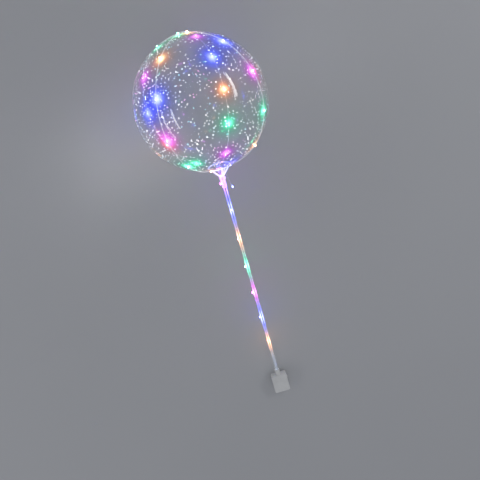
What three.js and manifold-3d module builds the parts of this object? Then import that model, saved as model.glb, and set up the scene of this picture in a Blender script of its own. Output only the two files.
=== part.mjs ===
// A clear bubble balloon on a clear stick, with a string of small lights wound up the stick
// and twice round the balloon. It lies down: the balloon on a small flat, the battery box on
// its lower edge.
//
// Everything is set out along the stick's own line. A place is given by its turn round that
// line in degrees (0 is the upper side, 90 the right), its distance out from the line, and
// its station: millimetres from the balloon's centre towards the foot.

import * as THREE from 'three';
import { mergeVertices } from 'three/addons/utils/BufferGeometryUtils.js';
import Module from 'manifold-3d';

const wasm = await Module();
wasm.setup();

// Balloon
const BALLOON_RADIUS = 175;
const FLAT_DEPTH = 1.8;
const BALLOON_SIDES = 40;
const BALLOON_BANDS = 20;
const NECK_RADIUS = 16;
const NECK_FLARE = 1.5;
const KNOT = { station: 188.3, halfLength: 5.2, radius: 9.8, waist: 4.6, bands: 4 };
const RUFFLE = { end: 199.4, radius: 5.7 };

// Cup: a thin ring, slim ribs and a socket for the stick
const RING_RADIUS = 29.75;
const RING_WIRE = 1.75;
const RING_STATION = 174.5;
const RIB_COUNT = 6;
const RIB_FIRST_TURN = 12;
const RIB_RADIUS = 1.3;
const HUB_TOP = 200.5;
const HUB_END = 236.5;
const HUB_TOP_RADIUS = 7.5;
const HUB_END_RADIUS = 6.5;
const HUB_CAP = 2.9;
const HUB_COLLAR = { length: 10, taper: 2, step: 0.4 };
const HUB_ROOT = { inset: 1.2, drop: 1.4 };
const LUG = { width: 3.4, length: 6, height: 4.4, station: 210 };

// Stick: a clear tube
const STICK_RADIUS = 5;
const STICK_BORE = 4;
const STICK_LENGTH = 700;
const STICK_PLAY = 0.3;

// Battery box at the foot
const BOX = { width: 50, length: 66, under: 10, over: 8, wall: 1.6, corner: 5 };
const LID = { thickness: 2, gap: 0.3, rimHeight: 2, rimWall: 1.4, rimPlay: 0.35 };
const SOCKET = { radius: 7.3, length: 20 };

// String of lights
const WIRE_RADIUS = 0.7;
const WIRE_SIDES = 6;
const WIRE_LIFT = 1.5;
const CROSSING_LIFT = 1.9;
const CROSSING_SPREAD = 9;
const BEAD_COUNT = 30;
const BEAD_PITCH = 100;
const BEAD_LEAD = 149;
const BEAD_RADIUS = 2.1;
const BEAD_LENGTH = 6.8;
const BEAD_OUTSET = 1.2;
const LOOP_ONE = { up: -123, down: 57 };
const LOOP_TWO = { up: 155, down: -36 };
const LOOP_FOOT_ANGLE = 12;
const LOOP_STEP = 8;
const WINDING_OUT = 6.2;
const WINDING_TURN_PER_MM = 335 / 94.5;
const WINDING_MARK = { station: 304, turn: -5 };
const WINDING_STEP = 30;
const WIRE_HOLE = { turn: 270, out: 9, radius: 1.2 };

const STICK_TOP = HUB_TOP + HUB_CAP + STICK_PLAY;
const STICK_END = STICK_TOP + STICK_LENGTH;
const BOX_TOP = STICK_END + STICK_PLAY;
const BOX_END = BOX_TOP + BOX.length;
const BOX_MIDDLE = (BOX_TOP + BOX_END) / 2;
const CENTRE_HEIGHT = BALLOON_RADIUS - FLAT_DEPTH;
const LEAN = Math.asin(CENTRE_HEIGHT / Math.hypot(BOX_END, BOX.under)) - Math.atan2(BOX.under, BOX_END);

const radians = THREE.MathUtils.degToRad;

function place(turn, out, station) {
  const angle = radians(turn);
  return new THREE.Vector3(out * Math.sin(angle), -station, out * Math.cos(angle));
}

// A closed geometry with its vertices shared, as a solid for cutting and joining.
function toSolid(geometry) {
  const bare = new THREE.BufferGeometry();
  bare.setAttribute('position', geometry.getAttribute('position').clone());
  if (geometry.index) bare.setIndex(geometry.index.clone());
  const welded = mergeVertices(bare, 1e-4);
  const corners = welded.index.array;
  const triangles = [];
  for (let i = 0; i < corners.length; i += 3) {
    const [a, b, c] = [corners[i], corners[i + 1], corners[i + 2]];
    if (a !== b && b !== c && c !== a) triangles.push(a, b, c);
  }
  const vertProperties = new Float32Array(welded.getAttribute('position').array);
  const triVerts = new Uint32Array(triangles);
  return new wasm.Manifold(new wasm.Mesh({ numProp: 3, vertProperties, triVerts }));
}

function toGeometry(solid) {
  const mesh = solid.getMesh();
  const geometry = new THREE.BufferGeometry();
  geometry.setAttribute('position', new THREE.BufferAttribute(mesh.vertProperties, 3));
  geometry.setIndex(new THREE.BufferAttribute(mesh.triVerts, 1));
  geometry.computeVertexNormals();
  return geometry;
}

// A round body about the stick's line, from [out, station] pairs running from foot to top.
function turned(profile, sides) {
  const points = profile.map(([out, station]) => new THREE.Vector2(out, -station));
  return toSolid(new THREE.LatheGeometry(points, sides));
}

function rod(from, to, radius, sides) {
  const along = new THREE.Vector3().subVectors(to, from);
  const geometry = new THREE.CylinderGeometry(radius, radius, along.length(), sides);
  const turn = new THREE.Quaternion().setFromUnitVectors(
    new THREE.Vector3(0, 1, 0),
    along.clone().normalize(),
  );
  geometry.applyQuaternion(turn);
  geometry.translate(...from.clone().addScaledVector(along, 0.5).toArray());
  return toSolid(geometry);
}

function block(width, length, height, centre) {
  const geometry = new THREE.BoxGeometry(width, length, height);
  geometry.translate(...centre.toArray());
  return toSolid(geometry);
}

// The ruffled end, the knot and the neck that flares to the film.
function neckProfile(filmStation) {
  const { station, halfLength, radius, waist, bands } = KNOT;
  const profile = [
    [0, RUFFLE.end],
    [RUFFLE.radius, RUFFLE.end],
  ];
  for (let band = 0; band <= bands; band += 1) {
    const angle = (Math.PI * band) / bands;
    profile.push([waist + (radius - waist) * Math.sin(angle), station + halfLength * Math.cos(angle)]);
  }
  for (const share of [2 / 3, 1 / 3]) {
    const out = waist + (NECK_RADIUS - waist) * (1 - share) ** NECK_FLARE;
    profile.push([out, THREE.MathUtils.lerp(filmStation, station - halfLength, share)]);
  }
  return profile;
}

function makeBalloon() {
  const neckAngle = Math.asin(NECK_RADIUS / BALLOON_RADIUS);
  const profile = neckProfile(BALLOON_RADIUS * Math.cos(neckAngle));
  for (let band = 0; band < BALLOON_BANDS; band += 1) {
    const angle = neckAngle + ((Math.PI - neckAngle) * band) / BALLOON_BANDS;
    profile.push([BALLOON_RADIUS * Math.sin(angle), BALLOON_RADIUS * Math.cos(angle)]);
  }
  profile.push([0, -BALLOON_RADIUS]);
  const floor = new THREE.BoxGeometry(BALLOON_RADIUS, BALLOON_RADIUS, BALLOON_RADIUS);
  floor.translate(0, 0, -CENTRE_HEIGHT - BALLOON_RADIUS / 2);
  floor.rotateX(-LEAN);
  return turned(profile, BALLOON_SIDES).subtract(toSolid(floor));
}

function makeCup() {
  const ring = new THREE.TorusGeometry(RING_RADIUS, RING_WIRE, 8, 32);
  ring.rotateX(Math.PI / 2);
  ring.translate(0, -RING_STATION, 0);
  const bore = STICK_RADIUS + STICK_PLAY;
  const hub = turned(
    [
      [bore, HUB_TOP + HUB_CAP],
      [bore, HUB_END],
      [HUB_END_RADIUS, HUB_END],
      [HUB_TOP_RADIUS - HUB_COLLAR.step, HUB_TOP + HUB_COLLAR.length + HUB_COLLAR.taper],
      [HUB_TOP_RADIUS, HUB_TOP + HUB_COLLAR.length],
      [HUB_TOP_RADIUS, HUB_TOP],
      [0, HUB_TOP],
      [0, HUB_TOP + HUB_CAP],
      [bore, HUB_TOP + HUB_CAP],
    ],
    20,
  );
  let cup = toSolid(ring).add(hub);
  for (let rib = 0; rib < RIB_COUNT; rib += 1) {
    const turn = RIB_FIRST_TURN + (360 / RIB_COUNT) * rib;
    const top = place(turn, RING_RADIUS, RING_STATION);
    const root = place(turn, HUB_TOP_RADIUS - HUB_ROOT.inset, HUB_TOP + HUB_ROOT.drop);
    cup = cup.add(rod(top, root, RIB_RADIUS, 6));
  }
  const lugCentre = place(90, HUB_TOP_RADIUS + LUG.width / 2 - HUB_ROOT.inset, LUG.station);
  return cup.add(block(LUG.width, LUG.length, LUG.height, lugCentre));
}

function makeStick() {
  return turned(
    [
      [STICK_BORE, STICK_END],
      [STICK_RADIUS, STICK_END],
      [STICK_RADIUS, STICK_TOP],
      [STICK_BORE, STICK_TOP],
      [STICK_BORE, STICK_END],
    ],
    20,
  );
}

function roundedPlate(width, length, corner, bottom, top) {
  const [x, y] = [width / 2, length / 2];
  const outline = new THREE.Shape();
  outline.moveTo(corner - x, -y);
  outline.lineTo(x - corner, -y);
  outline.absarc(x - corner, corner - y, corner, -Math.PI / 2, 0, false);
  outline.lineTo(x, y - corner);
  outline.absarc(x - corner, y - corner, corner, 0, Math.PI / 2, false);
  outline.lineTo(corner - x, y);
  outline.absarc(corner - x, y - corner, corner, Math.PI / 2, Math.PI, false);
  outline.lineTo(-x, corner - y);
  outline.absarc(corner - x, corner - y, corner, Math.PI, 1.5 * Math.PI, false);
  const settings = { depth: top - bottom, bevelEnabled: false, curveSegments: 4 };
  const geometry = new THREE.ExtrudeGeometry(outline, settings);
  geometry.translate(0, -BOX_MIDDLE, bottom);
  return toSolid(geometry);
}

function makeBatteryBox() {
  const { width, length, under, over, wall, corner } = BOX;
  const shell = roundedPlate(width, length, corner, -under, over);
  const bay = roundedPlate(width - 2 * wall, length - 2 * wall, corner - wall, wall - under, over + 1);
  const outside = place(0, 0, BOX_TOP + wall / 2);
  const socket = rod(outside, place(0, 0, BOX_TOP - SOCKET.length), SOCKET.radius, 20);
  const boreEnd = place(0, 0, BOX_TOP - SOCKET.length - 1);
  const bore = rod(place(0, 0, BOX_TOP), boreEnd, STICK_RADIUS + STICK_PLAY, 20);
  const holeFrom = place(WIRE_HOLE.turn, WIRE_HOLE.out, BOX_TOP - 1);
  const holeTo = place(WIRE_HOLE.turn, WIRE_HOLE.out, BOX_TOP + 2 * wall);
  const hole = rod(holeFrom, holeTo, WIRE_HOLE.radius, 8);
  return shell.subtract(bay).add(socket).subtract(bore).subtract(hole);
}

function makeBatteryLid() {
  const { width, length, over, wall, corner } = BOX;
  const bottom = over + LID.gap;
  const plate = roundedPlate(width, length, corner, bottom, bottom + LID.thickness);
  const inset = 2 * (wall + LID.rimPlay);
  const rimCorner = corner - wall - LID.rimPlay;
  const rim = roundedPlate(width - inset, length - inset, rimCorner, bottom - LID.rimHeight, bottom + 0.5);
  const core = roundedPlate(
    width - inset - 2 * LID.rimWall,
    length - inset - 2 * LID.rimWall,
    rimCorner - LID.rimWall,
    bottom - LID.rimHeight - 1,
    bottom + 0.5,
  );
  return plate.add(rim.subtract(core));
}

// A smooth wire whose cross-sections fall on its own points, which stand closer in the bends.
class WireRoute extends THREE.CatmullRomCurve3 {
  getUtoTmapping(u) {
    return u;
  }
}

function windingTurn(station) {
  return WINDING_MARK.turn + (station - WINDING_MARK.station) * WINDING_TURN_PER_MM;
}

// Out of the box, then round the tube up to the cup.
function windingPoints() {
  const points = [
    place(WIRE_HOLE.turn, WIRE_HOLE.out, BOX_TOP + 4),
    place(WIRE_HOLE.turn, WIRE_HOLE.out, BOX_TOP - 8),
    place(WIRE_HOLE.turn - 4, WIRE_HOLE.out, BOX_TOP - 17),
    place(WIRE_HOLE.turn - 24, 8.2, BOX_TOP - 24),
    place(WIRE_HOLE.turn - 58, 6.8, BOX_TOP - 30),
    place(WIRE_HOLE.turn - 92, 6.4, BOX_TOP - 34),
  ];
  const stationStep = WINDING_STEP / WINDING_TURN_PER_MM;
  for (let station = BOX_TOP - 38; station > HUB_END + 20; station -= stationStep) {
    points.push(place(windingTurn(station), WINDING_OUT, station));
  }
  return points;
}

// A closer wrap round the hub, then out past the ribs and the ring on to the film.
function feedPoints() {
  const start = windingTurn(HUB_END + 14);
  const end = LOOP_ONE.up + 40 - 360;
  const wrap = [];
  for (let step = 0; step <= 6; step += 1) {
    const share = step / 6;
    const turn = THREE.MathUtils.lerp(start, end, share);
    const station = THREE.MathUtils.lerp(HUB_END + 14, HUB_TOP + 21, share);
    wrap.push(place(turn, THREE.MathUtils.lerp(7.2, 8.5, Math.min(1, 2 * share)), station));
  }
  return [
    ...wrap,
    place(end + 4, 8.6, 211),
    place(end + 2, 9.9, 203),
    place(end - 6, 14, 197),
    place(end - 22, 20.2, 190),
    place(end - 34, 26.4, 183),
    ...roundTheRing(LOOP_ONE.up).reverse(),
  ];
}

// From the film round the outside of the ring and in beneath it.
function roundTheRing(turn) {
  return [
    place(turn, RING_RADIUS + 3, RING_STATION - 0.1),
    place(turn, RING_RADIUS + 2.1, RING_STATION + 2.1),
  ];
}

function underTheRing(turn) {
  return [
    place(turn, RING_RADIUS - 0.2, RING_STATION + 3),
    place(turn, RING_RADIUS - 3.6, RING_STATION + 3.4),
  ];
}

// Over the balloon from one side of the cup to the other. The lift is extra height at the top.
function loopPoints({ up, down }, lift) {
  const points = [];
  for (let angle = LOOP_FOOT_ANGLE; angle <= 360 - LOOP_FOOT_ANGLE; angle += LOOP_STEP) {
    const fromTop = Math.abs(180 - angle);
    const reach = BALLOON_RADIUS + WIRE_LIFT + lift * Math.exp(-((fromTop / CROSSING_SPREAD) ** 2));
    const turn = angle <= 180 ? up : down;
    const out = reach * Math.abs(Math.sin(radians(angle)));
    points.push(place(turn, out, reach * Math.cos(radians(angle))));
  }
  return points;
}

// Inside the cup, round the knot from one loop to the next.
function swirlPoints(fromTurn, toTurn, out, station, steps) {
  const points = [];
  for (let step = 0; step <= steps; step += 1) {
    points.push(place(THREE.MathUtils.lerp(fromTurn, toTurn, step / steps), out, station));
  }
  return points;
}

// Out between two ribs and down beside the hub. The last light is on the wire's end.
function tailPoints() {
  return [
    place(99, 13.4, 190),
    place(103, 13.8, 197),
    place(102, 14.4, 207),
    place(98, 15.8, 219),
    place(93, 17.6, 230),
    place(88, 19.5, 241),
  ];
}

function wirePoints() {
  return [
    ...windingPoints(),
    ...feedPoints(),
    ...loopPoints(LOOP_ONE, 0),
    ...roundTheRing(LOOP_ONE.down),
    ...underTheRing(LOOP_ONE.down),
    ...swirlPoints(LOOP_ONE.down + 6, LOOP_TWO.up - 2, 21, RING_STATION + 4.6, 5),
    ...underTheRing(LOOP_TWO.up).reverse(),
    ...roundTheRing(LOOP_TWO.up).reverse(),
    ...loopPoints(LOOP_TWO, CROSSING_LIFT),
    ...roundTheRing(LOOP_TWO.down),
    ...underTheRing(LOOP_TWO.down),
    place(LOOP_TWO.down + 8, 19, 180.5),
    ...swirlPoints(LOOP_TWO.down + 36, 88, 14, 184, 5),
    ...tailPoints(),
  ];
}

function outward(point) {
  const fromLine = new THREE.Vector3(point.x, 0, point.z);
  return (-point.y > RING_STATION ? fromLine : point.clone()).normalize();
}

function bead(centre, along) {
  const profile = [
    [0, 0.5],
    [1, 0.2],
    [1, -0.2],
    [0, -0.5],
  ].map(([out, height]) => new THREE.Vector2(out * BEAD_RADIUS, -height * BEAD_LENGTH));
  const geometry = new THREE.LatheGeometry(profile, 6);
  geometry.applyQuaternion(new THREE.Quaternion().setFromUnitVectors(new THREE.Vector3(0, 1, 0), along));
  geometry.translate(...centre.toArray());
  return toSolid(geometry);
}

function makeLightString() {
  const points = wirePoints();
  const corners = [];
  for (let side = 0; side < WIRE_SIDES; side += 1) {
    const angle = (2 * Math.PI * side) / WIRE_SIDES;
    corners.push(new THREE.Vector2(WIRE_RADIUS * Math.cos(angle), WIRE_RADIUS * Math.sin(angle)));
  }
  const section = new THREE.Shape(corners);
  const extrudePath = new WireRoute(points);
  const steps = points.length - 1;
  const wire = toSolid(new THREE.ExtrudeGeometry(section, { steps, extrudePath, bevelEnabled: false }));
  const measured = new THREE.CatmullRomCurve3(points);
  measured.arcLengthDivisions = 12 * steps;
  const length = measured.getLength();
  let string = wire;
  for (let index = 0; index < BEAD_COUNT; index += 1) {
    const isLast = index === BEAD_COUNT - 1;
    const share = isLast ? 1 : (BEAD_LEAD + index * BEAD_PITCH) / length;
    const point = measured.getPointAt(share);
    const centre = point.clone().addScaledVector(outward(point), BEAD_OUTSET);
    string = string.add(bead(centre, measured.getTangentAt(share)));
  }
  return string;
}

const clearFilm = { color: 0xf2f6fa, roughness: 0.06, metalness: 0, transparent: true, opacity: 0.3 };
const clearPlastic = { color: 0xe8edf2, roughness: 0.12, metalness: 0, transparent: true, opacity: 0.6 };
const silverWire = { color: 0xd8dde2, roughness: 0.35, metalness: 0.6 };
const whitePlastic = { color: 0xe9e9e6, roughness: 0.4, metalness: 0 };

const pieces = [
  ['balloon', makeBalloon, clearFilm],
  ['cup', makeCup, clearPlastic],
  ['stick', makeStick, clearPlastic],
  ['light_string', makeLightString, silverWire],
  ['battery_box', makeBatteryBox, whitePlastic],
  ['battery_lid', makeBatteryLid, whitePlastic],
];

const lying = new THREE.Group();
lying.rotation.x = LEAN;
lying.position.z = CENTRE_HEIGHT;
for (const [name, make, finish] of pieces) {
  const mesh = new THREE.Mesh(toGeometry(make()), new THREE.MeshStandardMaterial(finish));
  mesh.name = name;
  lying.add(mesh);
}

// The origin is the middle of the footprint, on the floor.
const bubbleBalloon = new THREE.Group();
bubbleBalloon.add(lying);
bubbleBalloon.updateMatrixWorld(true);
const middle = new THREE.Box3().setFromObject(bubbleBalloon, true).getCenter(new THREE.Vector3());
lying.position.x -= middle.x;
lying.position.y -= middle.y;

export default bubbleBalloon;
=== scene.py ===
import math
import re

import bmesh
import bpy
import numpy as np
from mathutils import Matrix, Vector


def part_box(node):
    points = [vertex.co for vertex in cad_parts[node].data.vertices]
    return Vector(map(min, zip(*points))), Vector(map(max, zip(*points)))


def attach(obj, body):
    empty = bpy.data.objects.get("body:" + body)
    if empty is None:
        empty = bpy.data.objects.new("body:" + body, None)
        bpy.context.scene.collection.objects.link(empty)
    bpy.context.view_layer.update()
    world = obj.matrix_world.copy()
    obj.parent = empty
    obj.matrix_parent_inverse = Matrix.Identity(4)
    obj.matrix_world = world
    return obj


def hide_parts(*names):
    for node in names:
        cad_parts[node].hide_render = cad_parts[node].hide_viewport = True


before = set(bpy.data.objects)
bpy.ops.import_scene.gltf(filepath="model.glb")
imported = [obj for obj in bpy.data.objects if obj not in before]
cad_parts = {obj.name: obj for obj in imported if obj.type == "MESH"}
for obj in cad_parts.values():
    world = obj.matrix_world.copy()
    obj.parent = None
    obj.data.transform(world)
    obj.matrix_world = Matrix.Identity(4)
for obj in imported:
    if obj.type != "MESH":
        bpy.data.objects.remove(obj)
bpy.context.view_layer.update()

# Everything is set out along the stick's own line, as the solids are. A place is given by its
# turn round that line in degrees (0 is the upper side, 90 the right), its distance out from
# the line and its station, both in millimetres. Stations run from the balloon's centre to the foot.
milli = 0.001
mergeGap = 1e-6
balloonLow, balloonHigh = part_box("balloon")
stickLow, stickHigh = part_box("stick")
balloonRadius = (balloonHigh.x - balloonLow.x) / 2 / milli
balloonCentre = Vector((0, balloonHigh.y, balloonHigh.z)) - Vector((0, 1, 1)) * balloonRadius * milli
stickMiddle = (stickLow + stickHigh) / 2
footward = (stickMiddle - balloonCentre).normalized()
rightward = Vector((1, 0, 0))
upward = footward.cross(rightward)


def place(turn, out, station):
    angle = math.radians(turn)
    side = rightward * math.sin(angle) + upward * math.cos(angle)
    return balloonCentre + (side * out + footward * station) * milli


def stationOf(spots):
    return (np.array(spots) - np.array(balloonCentre)) @ np.array(footward) / milli


def lengthAlong(low, high, height):
    # a piece's length along the line, from its box and its height across the line
    return ((high.y - low.y) / milli - height * abs(footward.z)) / abs(footward.y)


def blendValue(start, end, share):
    return start + (end - start) * share


def newPiece(name, verts, faces, edges=()):
    mesh = bpy.data.meshes.new(name)
    mesh.from_pydata([tuple(vert) for vert in verts], edges, faces)
    mesh.update()
    piece = bpy.data.objects.new(name, mesh)
    bpy.context.scene.collection.objects.link(piece)
    return smoothShade(piece)


def smoothShade(piece):
    faces = piece.data.polygons
    faces.foreach_set("use_smooth", [True] * len(faces))
    return piece


def tidyMesh(piece):
    mesh = bmesh.new()
    mesh.from_mesh(piece.data)
    bmesh.ops.remove_doubles(mesh, verts=mesh.verts, dist=mergeGap)
    bmesh.ops.recalc_face_normals(mesh, faces=mesh.faces)
    mesh.to_mesh(piece.data)
    mesh.free()
    return piece


def settle(piece):
    # turns the piece with all its modifiers into one plain mesh
    view = bpy.context.evaluated_depsgraph_get()
    mesh = bpy.data.meshes.new_from_object(piece.evaluated_get(view))
    piece.modifiers.clear()
    old = piece.data
    piece.data = mesh
    bpy.data.meshes.remove(old)
    mesh.name = piece.name
    return piece


def fuse(piece, voxel, softening):
    # one closed skin over parts that run into each other
    merge = piece.modifiers.new("merge", "REMESH")
    merge.mode = "VOXEL"
    merge.voxel_size = voxel * milli
    merge.use_smooth_shade = True
    piece.modifiers.new("soften", "SMOOTH").iterations = softening
    return settle(piece)


def setMaterial(piece, material):
    piece.data.materials.clear()
    piece.data.materials.append(material)


def dressClear(piece, material):
    # light passes clear plastic, so it throws no shadow of its own
    setMaterial(piece, material)
    piece.visible_shadow = False


def handOver(piece, nodeName):
    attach(piece, "root")
    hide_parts(nodeName)
    print(piece.name, "made:", len(piece.data.polygons), "faces")


def ringFaces(rings, sides, capped):
    faces = []
    for ring in range(rings - 1):
        for side in range(sides):
            nextSide = (side + 1) % sides
            a, b = ring * sides + side, ring * sides + nextSide
            faces.append((a, b, b + sides, a + sides))
    if capped:
        faces.append(tuple(range(sides))[::-1])
        faces.append(tuple(range((rings - 1) * sides, rings * sides)))
    return faces


def turned(profile, sides, capped=False, shape=None):
    # a round form from (out, station) pairs; shape may push a point in or out
    verts = []
    for out, station in profile:
        for side in range(sides):
            turn = 360 * side / sides
            push = shape(turn, station) if shape else 0
            verts.append(place(turn, out + push, station))
    return verts, ringFaces(len(profile), sides, capped)


def joinedPiece(name, parts):
    verts, faces = [], []
    for partVerts, partFaces in parts:
        start = len(verts)
        verts += partVerts
        faces += [tuple(start + corner for corner in face) for face in partFaces]
    return tidyMesh(newPiece(name, verts, faces))


class NodeKit:
    # adds nodes to one tree; a value given to a node may be another node's output

    def __init__(self, tree):
        self.tree = tree

    def add(self, kind, values=None, **settings):
        node = self.tree.nodes.new(kind)
        for key, value in settings.items():
            setattr(node, key, value)
        for key, value in (values or {}).items():
            if isinstance(value, bpy.types.NodeSocket):
                self.link(value, node.inputs[key])
            else:
                node.inputs[key].default_value = value
        return node

    def out(self, kind, values=None, **settings):
        return self.add(kind, values, **settings).outputs[0]

    def link(self, fromSocket, toSocket):
        self.tree.links.new(fromSocket, toSocket)

    def math(self, operation, *values):
        return self.out("ShaderNodeMath", dict(enumerate(values)), operation=operation)

    def plus(self, a, b):
        return self.math("ADD", a, b)

    def minus(self, a, b):
        return self.math("SUBTRACT", a, b)

    def times(self, a, b):
        return self.math("MULTIPLY", a, b)

    def over(self, a, b):
        return self.math("DIVIDE", a, b)

    def vector(self, x=0.0, y=0.0, z=0.0):
        return self.out("ShaderNodeCombineXYZ", {0: x, 1: y, 2: z})

    def parts(self, vector):
        return self.add("ShaderNodeSeparateXYZ", {0: vector}).outputs

    def scaled(self, vector, amount):
        return self.out("ShaderNodeVectorMath", {0: vector, "Scale": amount}, operation="SCALE")

    def summed(self, a, b):
        return self.out("ShaderNodeVectorMath", {0: a, 1: b}, operation="ADD")

    def mapped(self, value, fromLow, fromHigh, toLow, toHigh):
        return self.out("ShaderNodeMapRange", {
            "Value": value, "From Min": fromLow, "From Max": fromHigh, "To Min": toLow, "To Max": toHigh,
        })

    def mixed(self, share, first, second, blend="MIX"):
        values = {0: share, 6: first, 7: second}
        return self.add("ShaderNodeMix", values, data_type="RGBA", blend_type=blend).outputs[2]

    def noise(self, spot, scale, detail):
        values = {"Vector": spot, "Scale": scale, "Detail": detail}
        return self.add("ShaderNodeTexNoise", values).outputs["Fac"]

    def grain(self, scale, detail):
        return self.noise(self.add("ShaderNodeTexCoord").outputs["Object"], scale, detail)

    def stored(self, name, output="Color"):
        return self.add("ShaderNodeAttribute", attribute_name=name).outputs[output]

    def tones(self, value, stops):
        ramp = self.add("ShaderNodeValToRGB", {"Fac": value})
        for n, (position, colour) in enumerate(stops):
            elements = ramp.color_ramp.elements
            stop = elements[n] if n < 2 else elements.new(position)
            stop.position = position
            stop.color = colour
        return ramp.outputs["Color"]

    def circle(self, radius, steps):
        return self.out("GeometryNodeCurvePrimitiveCircle", {"Resolution": steps, "Radius": radius})

    def swept(self, curve, section):
        values = {"Curve": curve, "Profile Curve": section, "Fill Caps": True}
        return self.out("GeometryNodeCurveToMesh", values)

    def shapedRod(self, curve, steps, stoutness, radius, sides):
        even = self.out("GeometryNodeResampleCurve", {"Curve": curve, "Count": steps}, mode="COUNT")
        shaped = self.out("GeometryNodeSetCurveRadius", {"Curve": even, "Radius": stoutness})
        return self.swept(shaped, self.circle(radius, sides))

    def fromMiddle(self):
        # 0 halfway along a curve and 1 at its ends
        along = self.add("GeometryNodeSplineParameter").outputs["Factor"]
        return self.math("ABSOLUTE", self.math("MULTIPLY_ADD", along, 2.0, -1.0))

    def curveFrom(self, mesh):
        return self.out("GeometryNodeMeshToCurve", {"Mesh": mesh})

    def row(self, count, step=(0, 0, 0)):
        return self.out("GeometryNodeMeshLine", {"Count": count, "Offset": step})

    def index(self):
        return self.out("GeometryNodeInputIndex")

    def copies(self, points, instance, rotation=(0, 0, 0), scale=(1, 1, 1)):
        return self.out("GeometryNodeInstanceOnPoints", {
            "Points": points, "Instance": instance, "Rotation": rotation, "Scale": scale,
        })

    def moved(self, geometry, step):
        return self.out("GeometryNodeTransform", {"Geometry": geometry, "Translation": step})

    def joined(self, *parts):
        join = self.add("GeometryNodeJoinGeometry")
        for part in parts:
            self.link(part, join.inputs[0])
        return join.outputs[0]

    def laidDown(self, geometry, given):
        # from the maker's axes (right, up, toward the foot) to where the object lies
        turn = self.out("FunctionNodeEulerToRotation", {0: given["Turned"]})
        return self.out("GeometryNodeTransform", {
            "Geometry": geometry, "Translation": given["Centre"], "Rotation": turn,
        })


def openTree(name, kind, inputs, outputs):
    # a socket's kind follows its starting value: none for geometry, four numbers for a colour
    tree = bpy.data.node_groups.new(name, kind)
    kinds = {type(None): "Geometry", int: "Int", float: "Float", tuple: "Vector"}
    for title, value in inputs.items():
        isColour = isinstance(value, tuple) and len(value) == 4
        socketType = "NodeSocket" + ("Color" if isColour else kinds[type(value)])
        socket = tree.interface.new_socket(title, in_out="INPUT", socket_type=socketType)
        if value is not None:
            socket.default_value = value
    for title, outputKind in outputs.items():
        tree.interface.new_socket(title, in_out="OUTPUT", socket_type="NodeSocket" + outputKind)
    kit = NodeKit(tree)
    return tree, kit, kit.add("NodeGroupInput").outputs, kit.add("NodeGroupOutput").inputs


def growForm(piece, name, form, material, values):
    # runs a piece through a node tree that has one input for each value and makes its geometry
    # by form(kit, given), then keeps the result as a plain mesh
    tree, kit, given, result = openTree(
        name, "GeometryNodeTree", {"Geometry": None, **values}, {"Geometry": "Geometry"}
    )
    real = kit.out("GeometryNodeRealizeInstances", {"Geometry": form(kit, given)})
    dressed = kit.out("GeometryNodeSetMaterial", {"Geometry": real, "Material": material})
    kit.link(dressed, result["Geometry"])
    modifier = piece.modifiers.new(name, "NODES")
    modifier.node_group = tree
    for item in tree.interface.items_tree:
        if item.in_out == "INPUT" and item.name in values:
            modifier[item.identifier] = values[item.name]
    return settle(piece)


def inputsFrom(settings, sizes, others=()):
    # tree inputs named after the settings; sizes go from millimetres to metres
    values = {key: settings[key] * milli for key in sizes}
    values.update({key: settings[key] for key in others})
    return {re.sub("([A-Z])", r" \1", key).title(): value for key, value in values.items()}


lyingValues = {
    "Centre": tuple(balloonCentre),
    "Turned": tuple(Matrix((rightward, upward, footward)).transposed().to_euler()),
}

# The string of lights: where it runs, and the colours that its lamps throw on what is near, painted
# there as glow and tint.
# A spot on the wire's way is (turn, out, station), near the ring (out, station) from its wire,
# and a swirl is (from turn, to turn, out, station).
lightString = {
    "beadCount": 30,
    "beadPitch": 100,
    "beadLead": 149,
    "beadOutset": 1.2,
    "wireLift": 1.5,
    "crossingLift": 1.9,
    "crossingSpread": 9,
    "loopOne": (-123, 57),
    "loopTwo": (155, -36),
    "loopFoot": 12,
    "loopStep": 8,
    "holeTurn": 270,
    "outOfBox": [(0, 9, 4), (0, 9, -8), (-4, 9, -17), (-24, 8.2, -24), (-58, 6.8, -30), (-92, 6.4, -34)],
    "windingOut": 6.2,
    "windingRate": 335 / 94.5,
    "windingMark": (304, -5),
    "windingStep": 30,
    "windingStart": 38,
    "windingEnd": 20,
    "feedFrom": 14,
    "feedTo": 21,
    "feedOut": (7.2, 8.5),
    "feedSteps": 6,
    "feedTurn": 40,
    "offTheHub": [(4, 8.6, 211), (2, 9.9, 203), (-6, 14, 197), (-22, 20.2, 190), (-34, 26.4, 183)],
    "overRing": [(3, -0.1), (2.1, 2.1)],
    "underRing": [(-0.2, 3), (-3.6, 3.4)],
    "upperSwirl": (63, 153, 21, 179.1),
    "inTheCup": [(-28, 19, 180.5)],
    "lowerSwirl": (0, 88, 14, 184),
    "swirlSteps": 5,
    "hangingEnd": [
        (99, 13.4, 190),
        (103, 13.8, 197),
        (102, 14.4, 207),
        (98, 15.8, 219),
        (93, 17.6, 230),
        (88, 19.5, 241),
    ],
    "stepsPerSpan": 6,
    "colours": {
        "warm": (1.0, 0.44, 0.15),
        "blue": (0.015, 0.07, 1.0),
        "magenta": (0.9, 0.04, 0.9),
        "green": (0.01, 0.9, 0.48),
    },
    "order": ("warm", "blue", "magenta", "green"),
    "blueCarry": 0.5,
    "tintDepth": 0.7,
    "tintSpread": 28,
}
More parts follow.
